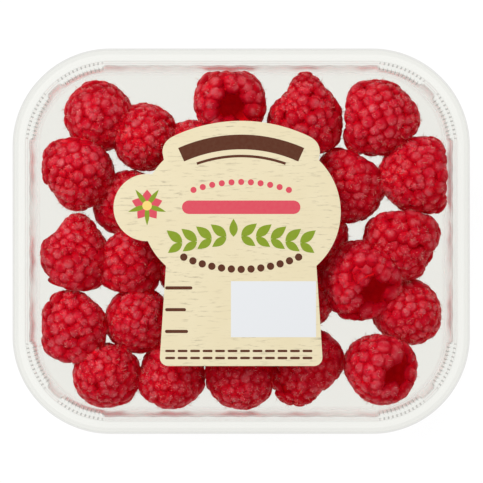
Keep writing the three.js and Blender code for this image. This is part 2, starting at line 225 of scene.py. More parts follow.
def closed_skin(name, rings):
    """A closed mesh through rings of points, with a fan of faces over each end."""
    ends = [rings[0].mean(axis=0), rings[-1].mean(axis=0)]
    return mesh_piece(name, np.concatenate([*rings, ends]), tube_faces(len(rings), len(rings[0])))


class Wire:
    """A socket in a tree of nodes, used in Python expressions."""

    def __init__(self, tree, socket=None):
        self.tree = tree
        self.socket = socket

    def node(self, kind, settings=None, sockets=None, out=0):
        """Makes any node: its settings first, then its sockets' values or links."""
        made = self.tree.nodes.new(kind)
        for key, value in (settings or {}).items():
            setattr(made, key, value)
        for key, value in (sockets or {}).items():
            if isinstance(value, Wire):
                self.tree.links.new(value.socket, made.inputs[key])
            else:
                made.inputs[key].default_value = value
        return Wire(self.tree, made.outputs[out]) if made.outputs else None

    def maths(self, operation, *terms):
        """A Math node on wires and numbers."""
        return self.node("ShaderNodeMath", {"operation": operation}, dict(enumerate(terms)))

    def __add__(self, other):
        return self.maths("ADD", self, other)

    def __sub__(self, other):
        return self.maths("SUBTRACT", self, other)

    def __rsub__(self, other):
        return self.maths("SUBTRACT", other, self)

    def __mul__(self, other):
        return self.maths("MULTIPLY", self, other)

    def __pow__(self, other):
        return self.maths("POWER", self, other)

    __radd__ = __add__
    __rmul__ = __mul__

    def clamp(self):
        """This value, held between 0 and 1."""
        return self.maths("MINIMUM", self.maths("MAXIMUM", self, 0.0), 1.0)

    def slope(self, start, steepness):
        """Goes evenly from 0 at the start up to 1, or down to 0 at the start from 1 before
        it, if the steepness is below zero."""
        return ((self - start) * steepness).clamp()

    def blend(self, low, high):
        """The colour between two others, at this share of the way."""
        settings = {"data_type": "RGBA"}
        return self.node("ShaderNodeMix", settings, {0: self, 6: low, 7: high}, out=2)

    def place(self):
        """The place on the piece, in metres."""
        return self.node("ShaderNodeTexCoord", out="Object")

    def attribute(self, name):
        """A number that the mesh carries at its points."""
        return self.node("ShaderNodeAttribute", {"attribute_name": name}, out="Fac")

    def noise(self, scale, detail=2.0, roughness=0.5):
        """Clouds over this place."""
        return self.node("ShaderNodeTexNoise", None, {
            "Vector": self, "Scale": scale, "Detail": detail, "Roughness": roughness})

    def relief(self, depth, strength):
        """The lie of a surface with this height."""
        return self.node("ShaderNodeBump", None, {
            "Height": self, "Distance": depth, "Strength": strength})

    def clear(self, tint):
        """A layer that passes light straight on, in a tint."""
        return self.node("ShaderNodeBsdfTransparent", None, {"Color": (*tint, 1)})

    def over(self, below, above, share):
        """Two layers mixed by the share of the upper one."""
        return self.node("ShaderNodeMixShader", None, {0: share, 1: below, 2: above})

    def solid(self, sockets, settings=None):
        """A surface that light doesn't pass straight through."""
        return self.node("ShaderNodeBsdfPrincipled", settings, sockets)

    def finish(self):
        """Makes this layer the material's surface."""
        self.node("ShaderNodeOutputMaterial", None, {"Surface": self})


def new_material(name):
    """An empty material and a wire to build it with."""
    material = bpy.data.materials.new(name)
    material.use_nodes = True
    material.node_tree.nodes.clear()
    return material, Wire(material.node_tree)


def clear_sheet(name, tint, edge_tint, roughness, ripple, layers):
    """Clear plastic: it passes light straight on, greyer where it is seen edge on, and
    it mirrors more the flatter it is looked along. The function for its layers turns the
    plain sheet and the place on it into the sheet's body with any painted shade and
    painted glints laid on it, the strength of its gloss, and the least that it mirrors
    when it is looked at squarely."""
    edge_focus, mirror_focus = 6.0, 4.2
    material, wire = new_material(name)
    where = wire.place()
    waves = where.noise(ripple, 3.0).relief(0.0004, 0.25)
    facing = wire.node("ShaderNodeLayerWeight", None, {"Blend": 0.5, "Normal": waves}, out="Facing")
    plain = wire.over(wire.clear(tint), wire.clear(edge_tint), facing ** edge_focus)
    body, gloss, least = layers(plain, where)
    mirror = wire.node("ShaderNodeBsdfGlossy", None, {
        "Color": (1, 1, 1, 1), "Roughness": roughness, "Normal": waves})
    wire.over(body, mirror, facing ** mirror_focus * gloss + least).finish()
    return material


def tray_layers(plain, where):
    """The tray's floor takes a darker tint as painted shade, its bends and the roots of its
    teeth take painted shade too, and the teeth's crests a painted glint. Its rim and ledge
    are dulled by the seal's heat, and the foot of the wall mirrors a little from every side."""
    floor_shade_top, foot_low, foot_high, ledge_low = 0.004, 0.0008, 0.0045, WALL_TOP * MM
    height = plain.node("ShaderNodeSeparateXYZ", None, {0: where}, out="Z")
    painted_shading = plain.attribute("painted_shading")
    # Painted glint: a pale diffuse layer where the mesh's shading mark is below zero.
    white = plain.node("ShaderNodeBsdfDiffuse", None, {"Color": (0.85, 0.85, 0.85, 1)})
    # Painted shade: a darker tint over the floor and the lowest few mm of the sheet.
    painted_floor_shade = plain.over(plain, plain.clear((0.925, 0.924, 0.908)), height.slope(floor_shade_top, -500.0))
    # Painted shade at the sheet's bends and at the roots of the teeth.
    painted_shade = plain.over(painted_floor_shade, plain.clear((0.45, 0.45, 0.43)), painted_shading.clamp())
    body = plain.over(painted_shade, white, painted_shading.slope(0.0, -0.3))
    gloss = 0.95 - height.slope(ledge_low, 2000.0) * 0.75
    least = height.slope(foot_low, 2000.0) * height.slope(foot_high, -700.0) * 0.08
    return body, gloss, least


section = tray_section()
stations = rim_stations()
outside = sheet_rings(stations, offset_section(section, SHEET))
inside = sheet_rings(stations, section)
tray = closed_skin("tray_shell", outside + inside[::-1])
# Painted shade at the sheet's bends and the teeth's roots, and painted glints on the teeth's
# crests, carried on the mesh's points.
bends = painted_shading_marks(stations, section)
tray.data.attributes.new("painted_shading", "FLOAT", "POINT").data.foreach_set(
    "value", np.concatenate([*bends, *bends[::-1], [0, 0]]))
tray.data.materials.append(clear_sheet(
    "clear tray plastic", (0.955, 0.956, 0.945), (0.935, 0.93, 0.91), 0.38, 60.0, tray_layers))
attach(tray, "root")
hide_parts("tray")

# Raspberries: each fruit is a soft thimble of round drupelets with fine down and a few
# dry styles, hollow where it was pulled off its plug. They lie as they fell, in one layer
# on the tray's floor, pressed a little against each other and against the wall.
FLOOR = SHEET + 0.1
HEADROOM = 1.0
FRUIT_GAP = 0.35
FRUIT_WALL_INSET = MOUTH_INSET + 2.5
WALL_LEAN = 1.2
OPEN_END_SQUARENESS = 4.2
SWELL_FOCUS = 9.0
DRUPELET_AREA = 11.5
DRUPELET_SPREAD = 0.82
DRUPELET_HEIGHT = 0.78
DRUPELET_PROUD = 0.3
DRUPELET_MARGIN = 0.95
DRUPELET_DISORDER = 0.05
RIPENESS_SPREAD = 0.22
FLESH_DEPTH = 1.3
FLESH_MARGIN = 0.3
FLESH_SIDES = 20
FLESH_RINGS = 12
FLESH_ANGLES = (4, 152)
HOLLOW_MOUTH = 0.27
HOLLOW_END = -0.01
HOLLOW_PROFILE = [(0.33, -0.455), (0.30, -0.43), (0.27, -0.36), (0.25, -0.26),
                  (0.21, -0.14), (0.14, -0.06), (0.06, -0.02)]
STYLE_LENGTH = 1.5
HAIR_LENGTH = 1.05
HAIR_SPREAD = 0.45
HAIR_ROOT = 0.95
HAIRS_PER_DRUPELET = 9
LONGEST_THREAD = 1.2
THREAD_GAP = 0.15

# One row for each fruit, in mm and degrees. The compass angle and the rise are those of
# its tip, the lift is off the floor, and the narrowing is towards the tip. A higher
# ripeness-and-shade value makes the fruit darker: partly for how ripe it is, and partly
# as painted shade on the fruit that lie lower, in the shade of the others. A swelling
# is a compass angle and a height, which is below zero for a dent.
Raspberry = namedtuple(
    "Raspberry", "x y width length compass rise lift narrowing ripeness swellings")
RASPBERRIES = [Raspberry(*row) for row in (
    (-45.2, 39.7, 21.0, 20.5, 135, 75, 0.5, 0.16, 0.5, [(95, 0.8), (-80, 0.4), (170, 0.3)]),
    (-30.4, 32.1, 20.2, 21.0, -60, 70, 1.0, 0.16, 0.6, [(42, 0.9), (195, -0.5)]),
    (-15.2, 28.6, 19.5, 19.0, 40, 60, 0.0, 0.16, 0.7, []),
    (-3.8, 44.0, 22.0, 20.0, 120, -72, 1.5, 0.16, 0.4, [(45, 0.3), (140, 0.9), (92, 0.8)]),
    (20.2, 40.7, 23.0, 24.4, 90, 15, 1.0, 0.44, 0.5,
     [(92, 0.8), (204, 0.8), (145, -3.2), (52, -0.5)]),
    (44.9, 38.7, 23.5, 22.8, -4, 12, 0.5, 0.28, 0.3, [(224, 0.8), (172, 0.5)]),
    (-51.2, 20.1, 22.8, 21.4, -98, 18, 0.5, 0.30, 0.5, [(37, -2.2), (145, 0.7), (206, -1.1)]),
    (-34.4, 12.8, 19.2, 19.5, 20, 55, 0.0, 0.16, 0.8, [(214, 1.4)]),
    (32.4, 15.9, 23.2, 20.8, -123, 20, 0.0, 0.20, 0.9, [(100, 0.5)]),
    (53.3, 20.7, 23.6, 21.0, 182, 12, 0.5, 0.30, 0.5, [(-42, 1.2), (47, 0.9)]),
    (-52.4, -2.8, 22.0, 23.6, 82, 15, 0.5, 0.40, 0.5, [(228, -3.9), (142, -2.8)]),
    (-34.6, -5.6, 19.6, 20.5, 75, 25, 2.0, 0.20, 0.5, [(225, 0.3), (305, 0.8), (260, -2.7)]),
    (50.4, -2.2, 24.2, 19.8, -95, 22, 1.0, 0.32, 0.8,
     [(30, 0.5), (-16, -3.7), (-62, 1.3), (115, -0.7)]),
    (23.4, 2.3, 20.2, 20.0, 90, 60, 0.0, 0.16, 0.7, []),
    (-52.2, -26.0, 20.2, 21.7, 82, 25, 0.5, 0.16, 0.3, [(222, 0.3), (136, 2.1), (56, -1.5)]),
    (-32.2, -24.7, 20.6, 20.5, 30, 80, 0.0, 0.16, 0.5, [(225, -0.5)]),
    (37.2, -11.0, 23.5, 23.4, 128, -50, 2.5, 0.18, 0.3,
     [(215, 0.9), (110, 0.5), (-70, -0.7), (240, 1.3)]),
    (53.2, -22.5, 20.5, 20.4, -20, 40, 0.0, 0.16, 0.6, [(-52, 0.9), (199, -0.8)]),
    (19.5, -18.0, 20.4, 20.0, -60, 55, 0.0, 0.16, 0.6, []),
    (-42.5, -41.6, 20.4, 20.0, 60, 80, 0.5, 0.16, 0.5, [(96, -1.6), (-48, 1), (5, 0.7)]),
    (-22.1, -43.0, 20.4, 21.0, -90, 50, 0.0, 0.16, 0.6, [(205, 0.9), (-10, 0.9), (147, -2.4)]),
    (-0.2, -42.9, 21.2, 21.4, -85, 52, 0.5, 0.16, 0.5, [(-40, 0.5), (178, 0.6)]),
    (20.6, -39.8, 21.0, 22.0, -122, 30, 0.0, 0.16, 0.7,
     [(-50, -2.4), (254, 2), (216, 2.4), (28, -0.6)]),
    (42.5, -40.1, 21.4, 21.2, 172, -50, 1.5, 0.16, 0.4, [(139, 0.9), (220, -1.2), (-90, 0.4)]),
    (-16.5, 11.0, 21.0, 20.5, 120, 75, 0.5, 0.16, 0.5, []),
    (5.0, 21.0, 21.5, 20.5, 10, 65, 0.0, 0.16, 0.4, []),
    (-14.8, -9.0, 21.0, 20.5, -30, 70, 0.0, 0.16, 0.6, []),
    (4.8, 0.0, 21.5, 21.0, 80, 60, 1.0, 0.16, 0.5, []),
    (-15.0, -26.8, 20.0, 20.0, 150, 65, 0.5, 0.16, 0.6, []),
    (1.8, -21.0, 20.0, 20.0, 20, 70, 0.0, 0.16, 0.5, []),
)]


def unit(ways):
    """Directions of length 1."""
    return ways / np.linalg.norm(ways, axis=1)[:, None]


def spiral(count, turn):
    """Directions spread evenly over a ball on a golden spiral, tip first."""
    order = np.arange(count)
    z = 1 - (2 * order + 1) / count
    around = order * math.pi * (3 - math.sqrt(5)) + turn
    r = np.sqrt(1 - z * z)
    return np.column_stack([r * np.cos(around), r * np.sin(around), z])


def on_fruit(ways, fruit):
    """Places and outward directions on a fruit whose tip points along +Z, in mm."""
    side = np.hypot(ways[:, 0], ways[:, 1])
    z = ways[:, 2]
    power = np.where(z < 0, OPEN_END_SQUARENESS, 2.0)
    reach = (side ** power + np.abs(z) ** power) ** (1 / power)
    taper = np.where(z > 0, 1 - fruit.narrowing * z, 1.0) / reach
    across = taper * fruit.width / 2
    place = ways * np.column_stack([across, across, fruit.length / 2 / reach])
    lean = (side / reach) ** (power - 1) / np.maximum(side, 1e-6)
    normal = np.column_stack([
        ways[:, 0] * lean / fruit.width,
        ways[:, 1] * lean / fruit.width,
        np.sign(z) * (np.abs(z) / reach) ** (power - 1) / fruit.length,
    ])
    return place, unit(normal)


def swollen(offsets, swellings):
    """Moves points outwards, or inwards, near some compass angles round the middle."""
    ways = unit(offsets)
    extra = np.zeros(len(offsets))
    for compass, height in swellings:
        towards = (math.cos(math.radians(compass)), math.sin(math.radians(compass)), 0)
        extra += height * np.exp(SWELL_FOCUS * (ways @ towards - 1))
    return offsets + ways * extra[:, None]


def fruit_pose(fruit):
    """How a fruit is turned, and where its middle is."""
    rise, compass = math.radians(fruit.rise), math.radians(fruit.compass)
    flat = math.cos(rise)
    up = math.hypot(math.sin(rise) * fruit.length / 2, flat * fruit.width / 2)
    tip = Vector((flat * math.cos(compass), flat * math.sin(compass), math.sin(rise)))
    turn = np.array(Vector((0, 0, 1)).rotation_difference(tip).to_matrix())
    return turn, np.array([fruit.x, fruit.y, FLOOR + FRUIT_GAP + up + fruit.lift])


def keep_in_tray(points, margin):
    """Moves points that would pass the wall, the floor or the film back inside."""
    height = np.clip(points[:, 2] / LEDGE_HEIGHT, 0, 1)
    corner = RIM_CORNER - (FRUIT_WALL_INSET - WALL_LEAN * height + margin + FRUIT_GAP)
    straight = np.array([RIM_HALF_X, RIM_HALF_Y]) - RIM_CORNER
    beyond = np.abs(points[:, :2]) - straight
    in_corner = (beyond > 0).all(axis=1)
    far = np.hypot(beyond[:, 0], beyond[:, 1])
    shrink = np.where(in_corner & (far > corner), corner / np.maximum(far, 1e-6), 1.0)
    beyond = np.where(in_corner[:, None], beyond * shrink[:, None],
                      np.minimum(beyond, corner[:, None]))
    kept = points.copy()
    kept[:, :2] = np.sign(points[:, :2]) * (straight + beyond)
    lowest = FLOOR + FRUIT_GAP + margin
    kept[:, 2] = np.clip(points[:, 2], lowest, RIM_TOP - HEADROOM - margin)
    return kept


def nearest_spacing(points, neighbours=5):
    """Mean distance from each point to its nearest neighbours."""
    apart = np.linalg.norm(points[:, None] - points[None], axis=2)
    apart.sort(axis=1)
    return apart[:, 1:neighbours + 1].mean(axis=1)


def fruit_seats(dice):
    """Where every drupelet of every fruit sits: middle, outward, radius, and a tone for how ripe
    the fruit is and its painted shade.
    """
    middles, normals, radii, tones = [], [], [], []
    for fruit in RASPBERRIES:
        area = math.pi * fruit.width * (fruit.length + fruit.width / 4)
        ways = spiral(round(area / DRUPELET_AREA), dice.uniform(0, math.tau))
        ways = unit(ways + dice.normal(scale=DRUPELET_DISORDER, size=ways.shape))
        place, normal = on_fruit(ways, fruit)
        outside_mouth = np.hypot(place[:, 0], place[:, 1]) > HOLLOW_MOUTH * fruit.width
        keep = outside_mouth | (place[:, 2] > 0)
        place, normal = place[keep], normal[keep]
        radius = DRUPELET_SPREAD * nearest_spacing(place)
        turn, centre = fruit_pose(fruit)
        outward = normal @ turn.T
        depth = radius * DRUPELET_HEIGHT - DRUPELET_PROUD
        middle = swollen(place @ turn.T, fruit.swellings) + centre - outward * depth[:, None]
        middles.append(keep_in_tray(middle, radius * DRUPELET_MARGIN))
        normals.append(outward)
        radii.append(radius)
        # The tone carries how ripe the fruit is and its painted shade, each drupelet a little
        # different at random.
        tone = fruit.ripeness + dice.normal(scale=RIPENESS_SPREAD, size=len(place))
        tones.append(np.clip(tone, 0, 1))
    return (np.concatenate(middles) * MM, np.concatenate(normals),
            np.concatenate(radii) * MM, np.concatenate(tones))


def flesh_thimble(fruit):
    """The points of the flesh under the drupelets, with the hollow of the plug, in metres."""
    turns = np.linspace(0, math.tau, FLESH_SIDES, endpoint=False)
    ways = np.array([(math.sin(p) * math.cos(t), math.sin(p) * math.sin(t), math.cos(p))
                     for p in np.radians(np.linspace(*FLESH_ANGLES, FLESH_RINGS)) for t in turns])
    place, normal = on_fruit(ways, fruit)
    turn, centre = fruit_pose(fruit)
    skin = swollen(place @ turn.T, fruit.swellings) - (normal @ turn.T) * FLESH_DEPTH
    lining = [(r * fruit.width * math.cos(t), r * fruit.width * math.sin(t), z * fruit.length)
              for r, z in HOLLOW_PROFILE for t in turns]
    ends = [(0, 0, fruit.length / 2 - FLESH_DEPTH), (0, 0, HOLLOW_END * fruit.length)]
    points = np.concatenate([skin, np.array(lining) @ turn.T, np.array(ends) @ turn.T]) + centre
    return keep_in_tray(points, FLESH_MARGIN) * MM


def join_flesh():
    """The flesh of all fruits as one piece, its faces turned outwards."""
    points, faces = [], []
    thimble = tube_faces(FLESH_RINGS + len(HOLLOW_PROFILE), FLESH_SIDES)
    for fruit in RASPBERRIES:
        faces += [[len(points) + corner for corner in reversed(face)] for face in thimble]
        points += list(flesh_thimble(fruit))
    return mesh_piece("raspberry_flesh", points, faces)


def drupelet_pattern():
    """One drupelet of radius 1: a plump cushion, closed below where the flesh hides it."""
    sides = 7
    rings = (0.42, 0.76, 0.97)
    plump = 2.4
    depth = 0.3
    points = []
    for r in rings:
        z = DRUPELET_HEIGHT * (1 - r ** plump) ** (1 / plump)
        points += [(r * math.cos(math.tau * k / sides), r * math.sin(math.tau * k / sides), z)
                   for k in range(sides)]
    points += [(0, 0, DRUPELET_HEIGHT), (0, 0, -depth)]
    faces = [face[::-1] for face in tube_faces(len(rings), sides)]
    cushion = mesh_piece("drupelet_pattern", points, faces)
    crest = cushion.data.attributes.new("crest", "FLOAT", "POINT")
    crest.data.foreach_set("value", [max(z, 0) / DRUPELET_HEIGHT for _, _, z in points])
    return cushion


def thread_pattern(name, bends, thick):
    """A thin three-sided thread of length 1 that narrows to its end, through its bends."""
    points = []
    for lean, height in bends[:-1]:
        points += [(lean + thick * math.cos(t), thick * math.sin(t), height)
                   for t in (0, math.tau / 3, math.tau * 2 / 3)]
    points.append((bends[-1][0], 0, bends[-1][1]))
    faces = [(2, 1, 0)]
    sides = [(0, 1), (1, 2), (2, 0)]
    last = 3 * (len(bends) - 2)
    for ring in range(0, last, 3):
        faces += [(ring + a, ring + b, ring + b + 3, ring + a + 3) for a, b in sides]
    faces += [(last + a, last + b, last + 3) for a, b in sides]
    return mesh_piece(name, points, faces)


def thread_seats(seats, ways, tones, length):
    """The seats of threads of one length, in metres, less those without room in the tray."""
    reach = length * LONGEST_THREAD
    tips = (seats + ways * reach) / MM
    clear = np.abs(keep_in_tray(tips, THREAD_GAP - FRUIT_GAP) - tips).max(axis=1) < 1e-9
    clear &= seats[:, 2] > reach + THREAD_GAP * MM
    return seats[clear], ways[clear], np.full(clear.sum(), length), tones[clear]


def hair_seats(drupelets, dice):
    """Several seats for fine down on each drupelet, spread over its cushion."""
    places, normals, radii, tones = (
        np.repeat(values, HAIRS_PER_DRUPELET, axis=0) for values in drupelets)
    ways = unit(normals + dice.normal(scale=HAIR_SPREAD, size=normals.shape))
    seats = places + ways * (radii * DRUPELET_HEIGHT * HAIR_ROOT)[:, None]
    return thread_seats(seats, ways, tones, HAIR_LENGTH * MM)


def seat_cloud(name, places, normals, sizes, tones):
    """A mesh of bare points that carry what the instances need."""
    cloud = mesh_piece(name, places, [])
    outward = cloud.data.attributes.new("outward", "FLOAT_VECTOR", "POINT")
    outward.data.foreach_set("vector", normals.ravel())
    for key, values in (("size", sizes), ("tone", tones)):
        cloud.data.attributes.new(key, "FLOAT", "POINT").data.foreach_set("value", values)
    return cloud


def scatter_tree():
    """Geometry Nodes: a pattern on every seat, turned outwards and a little uneven."""
    tree = bpy.data.node_groups.new("pattern on seats", "GeometryNodeTree")
    inputs = {"Seats": "Geometry", "Pattern": "Object", "Finish": "Material",
              "Smallest": "Float", "Largest": "Float", "Tilt": "Float", "Share": "Float",
              "Seed": "Int"}
    for name, kind in inputs.items():
        tree.interface.new_socket(name, in_out="INPUT", socket_type=f"NodeSocket{kind}")
    tree.interface.new_socket("Pieces", in_out="OUTPUT", socket_type="NodeSocketGeometry")
    wire = Wire(tree)
    given = {name: wire.node("NodeGroupInput", out=name) for name in inputs}

    def carried(name, kind):
        return wire.node("GeometryNodeInputNamedAttribute", {"data_type": kind},
                         {"Name": name}, out="Attribute")

    def chance(kind, sockets, out):
        return wire.node("FunctionNodeRandomValue", {"data_type": kind},
                         {**sockets, "Seed": given["Seed"]}, out)

    pattern = wire.node("GeometryNodeObjectInfo", None, {"Object": given["Pattern"]},
                        out="Geometry")
    facing = wire.node("FunctionNodeAlignRotationToVector", {"axis": "Z"},
                       {"Vector": carried("outward", "FLOAT_VECTOR")})
    most = wire.node("ShaderNodeCombineXYZ", None,
                     {"X": given["Tilt"], "Y": given["Tilt"], "Z": math.tau})
    least = wire.node("ShaderNodeVectorMath", {"operation": "SCALE"}, {0: most, "Scale": -1.0})
    turned = wire.node("FunctionNodeRotateRotation", {"rotation_space": "LOCAL"},
                       {0: facing, 1: chance("FLOAT_VECTOR", {0: least, 1: most}, 0)})
    uneven = chance("FLOAT", {2: given["Smallest"], 3: given["Largest"]}, 1)
    placed = wire.node("GeometryNodeInstanceOnPoints", None, {
        "Points": given["Seats"],
        "Selection": chance("BOOLEAN", {"Probability": given["Share"]}, 3),
        "Instance": pattern,
        "Rotation": turned,
        "Scale": carried("size", "FLOAT") * uneven,
    })
    real = wire.node("GeometryNodeRealizeInstances", None, {0: placed})
    finished = wire.node("GeometryNodeSetMaterial", None,
                         {"Geometry": real, "Material": given["Finish"]})
    wire.node("NodeGroupOutput", None, {0: finished})
    return tree


def settle(piece, tree, values):
    """Runs a Geometry Nodes tree on a piece and keeps the plain mesh it makes."""
    modifier = piece.modifiers.new("made by nodes", "NODES")
    modifier.node_group = tree
    for item in tree.interface.items_tree:
        if item.in_out == "INPUT" and item.name in values:
            modifier[item.identifier] = values[item.name]
    graph = bpy.context.evaluated_depsgraph_get()
    made = bpy.data.meshes.new_from_object(piece.evaluated_get(graph))
    piece.modifiers.remove(modifier)
    piece.data = made
    made.polygons.foreach_set("use_smooth", [True] * len(made.polygons))
    return piece


def fruit_skin():
    """Drupelets: deep crimson painted shade in the creases, brighter and softly shiny on the
    crests, with a faint red painted glow.
    """
    material, wire = new_material("raspberry skin")
    where = wire.place()
    crest = wire.attribute("crest")
    mottle = where.noise(420.0, 3.0)
    # The tone darkens the skin, for how ripe the fruit is and as painted shade.
    body = wire.attribute("tone").blend((0.52, 0.009, 0.028, 1), (0.42, 0.0025, 0.014, 1))
    juicy = where.noise(110.0, 1.0).slope(0.5, 4.0).blend(body, (0.50, 0.001, 0.008, 1))
    bloom = mottle.slope(0.42, 2.7).blend(juicy, (0.54, 0.076, 0.096, 1))
    wire.solid({
        # Painted shade: the creases, low on each cushion, take a darker crimson than the crests.
        "Base Color": crest.slope(0.78, 6.5).blend((0.38, 0.0003, 0.008, 1), bloom),
        "Roughness": mottle * 0.25 + 0.38,
        "Subsurface Weight": 0.7,
        "Subsurface Radius": (1.0, 0.05, 0.05),
        "Subsurface Scale": 0.002,
        "Specular IOR Level": 0.04,
        "Coat Weight": crest.slope(0.86, 5.0) * mottle.slope(0.35, 2.1),
        "Coat Roughness": 0.35,
        # Painted glow: a faint red emission stands in for light scattered through the fruit.
        "Emission Color": (1.0, 0.0, 0.01, 1),
        "Emission Strength": 0.038,
        "Normal": where.noise(2600.0).relief(0.0002, 0.25),
    }, {"subsurface_method": "BURLEY"}).finish()
    return material


def fruit_flesh():
    """The lining under and between the drupelets, and the walls of the hollow, with a faint red
    painted glow.
    """
    material, wire = new_material("raspberry flesh")
    cells = wire.node("ShaderNodeTexVoronoi", None, {"Vector": wire.place(), "Scale": 480.0})
    wire.solid({
        "Base Color": cells.clamp().blend((0.70, 0.0015, 0.009, 1), (0.50, 0.0, 0.003, 1)),
        "Roughness": 0.6,
        "Specular IOR Level": 0.08,
        "Subsurface Weight": 0.4,
        "Subsurface Radius": (1.0, 0.08, 0.06),
        "Subsurface Scale": 0.002,
        # Painted glow: a faint red emission stands in for light passing through the fruit into the
        # hollow.
        "Emission Color": (1.0, 0.0, 0.01, 1),
        "Emission Strength": 0.06,
        "Normal": (1 - cells).relief(0.0005, 0.6),
    }).finish()
    return material


def dried_style():
    """The dry threads on the fruit, straw to brown."""
    material, wire = new_material("dried styles")
    colour = wire.place().noise(300.0).blend((0.42, 0.13, 0.08, 1), (0.72, 0.40, 0.28, 1))
    wire.solid({"Base Color": colour, "Roughness": 0.6, "Specular IOR Level": 0.2}).finish()
    return material


def fruit_down():
    """The fine pale hairs that make the skin look velvety."""
    material, wire = new_material("raspberry down")
    colour = wire.place().noise(240.0).blend((0.60, 0.22, 0.20, 1), (0.95, 0.66, 0.58, 1))
    wire.solid({"Base Color": colour, "Roughness": 0.7, "Specular IOR Level": 0.1}).finish()
    return material


dice = np.random.default_rng(7)
drupelet_seats = fruit_seats(dice)
places, normals, radii, tones = drupelet_seats
crests = places + normals * (radii * DRUPELET_HEIGHT)[:, None]
style_seats = thread_seats(crests, normals, tones, STYLE_LENGTH * MM)
scatter = scatter_tree()
cushion = drupelet_pattern()
style = thread_pattern("style_pattern", [(0, -0.3), (0.06, 0.45), (0.3, 1)], 0.04)
hair = thread_pattern("hair_pattern", [(0, -0.2), (0.1, 1)], 0.05)
drupelets = settle(seat_cloud("raspberry_drupelets", *drupelet_seats), scatter, {
    "Pattern": cushion, "Finish": fruit_skin(), "Smallest": 0.92, "Largest": 1.08,
    "Tilt": 0.12, "Share": 1.0, "Seed": 3})
styles = settle(seat_cloud("raspberry_styles", *style_seats), scatter, {
    "Pattern": style, "Finish": dried_style(), "Smallest": 0.6, "Largest": LONGEST_THREAD,
    "Tilt": 0.9, "Share": 0.4, "Seed": 11})
down = settle(seat_cloud("raspberry_down", *hair_seats(drupelet_seats, dice)), scatter, {
    "Pattern": hair, "Finish": fruit_down(), "Smallest": 0.6, "Largest": LONGEST_THREAD,
    "Tilt": 0.7, "Share": 1.0, "Seed": 5})
flesh = join_flesh()
flesh.data.materials.append(fruit_flesh())
for pattern in (cushion, style, hair):
    bpy.data.objects.remove(pattern)
for piece in (drupelets, styles, down, flesh):
    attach(piece, "root")
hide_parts("berries")

# Film: a sheet of clear lidding film, drawn tight over the mouth and heat-sealed to the
# rim all round. It is cut a little inside the rim's turned edge.
film_low, film_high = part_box("film")
FILM_INSET = RIM_HALF_X - film_high.x / MM


def film_rings():
    """The film's underside, out to its cut edge, and its face, in from that edge."""
    foot, top = film_low.z / MM, film_high.z / MM
    corners = stations[stations[:, 4] == 0]
    edge = [(MOUTH_INSET, foot), (FILM_INSET, foot), (FILM_INSET, top), (MOUTH_INSET, top)]
    return sheet_rings(corners, [(inset, z, 0, 0, 0) for inset, z in edge])


def film_layers(plain, where):
    """Thin film is clear all over, and it mirrors less than the tray's wall."""
    return plain, 0.6, 0.0


film = closed_skin("lidding_film", film_rings())
film.data.materials.append(clear_sheet(
    "clear lidding film", (0.988, 0.989, 0.978), (0.94, 0.945, 0.93), 0.05, 35.0, film_layers))
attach(film, "root")
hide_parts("film")

# Label: a die-cut paper label stuck on the film, a round plate with an arched head, a
# round lobe at its left and a square tail. It is cream, printed with bars, dots, leaves
# and a blossom, and it has a blank panel for the date.
label_low, label_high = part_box("label")
PRINT_ROOM = 0.05
PAPER_FOOT = label_low.z / MM
PAPER_TOP = label_high.z / MM - PRINT_ROOM
INK = 0.02
INK_STEP = 0.2
MIDDLE = 0.0
PLATE = (8.6, 9.15, 22.5)
HEAD_HALF = 24.6
HEAD_SHOULDER_Y = 31.0
HEAD_CROWN_Y = 37.6
HEAD_FOOT_Y = 25.4
SHOULDER = 3.2
LOBE = (-29.4, 10.5, 10.5)
TAIL_HALF = 25.4
TAIL_TOP_Y = -7.7
TAIL_FOOT_Y = -39.0
TAIL_CORNER = 2.6
PANEL = (-3.2, -30.0, 23.4, -12.5)
HEAD_ARC_Y = -15.0
BLOSSOM = (LOBE[0], LOBE[1] + 0.6)
PAPER_CREAM = (0.69, 0.60, 0.39, 1)


def sweep(x, y, radius, start, end, steps=16):
    """Points of an arc, from one angle in radians to another."""
    turns = np.linspace(start, end, steps)
    return [(x + radius * math.cos(t), y + radius * math.sin(t)) for t in turns]


def plate_sweep(low_y, high_y, side):
    """The plate's edge between two heights, on its right (1) or its left (-1)."""
    x, y, radius = PLATE
    start, end = (math.asin((h - y) / radius) for h in (low_y, high_y))
    if side < 0:
        start, end = math.pi - start, math.pi - end
    return sweep(MIDDLE + side * x, y, radius, start, end, 28)


def curve(start, corner, end, steps=8):
    """Points of a quadratic curve that leaves its start and meets its end towards a corner."""
    t = np.linspace(0, 1, steps)[:, None]
    points = (1 - t) ** 2 * np.array(start) + 2 * t * (1 - t) * np.array(corner)
    return [tuple(p) for p in points + t ** 2 * np.array(end)]


def head_outline():
    """The arched head's edge, from its right shoulder over the crown to its left one."""
    rise = HEAD_CROWN_Y - HEAD_SHOULDER_Y
    radius = (HEAD_HALF ** 2 + rise ** 2) / (2 * rise)
    lean = math.asin((HEAD_HALF - SHOULDER) / radius)
    crown_x, crown_y = radius * math.sin(lean), HEAD_CROWN_Y - radius * (1 - math.cos(lean))
    side_y = HEAD_SHOULDER_Y - SHOULDER
    right, left = MIDDLE + HEAD_HALF, MIDDLE - HEAD_HALF
    up = math.pi / 2
    crown = sweep(MIDDLE, HEAD_CROWN_Y - radius, radius, up - lean, up + lean, 24)
    return (curve((right, side_y), (right, HEAD_SHOULDER_Y), (MIDDLE + crown_x, crown_y))
            + crown[1:-1]
            + curve((MIDDLE - crown_x, crown_y), (left, HEAD_SHOULDER_Y), (left, side_y)))


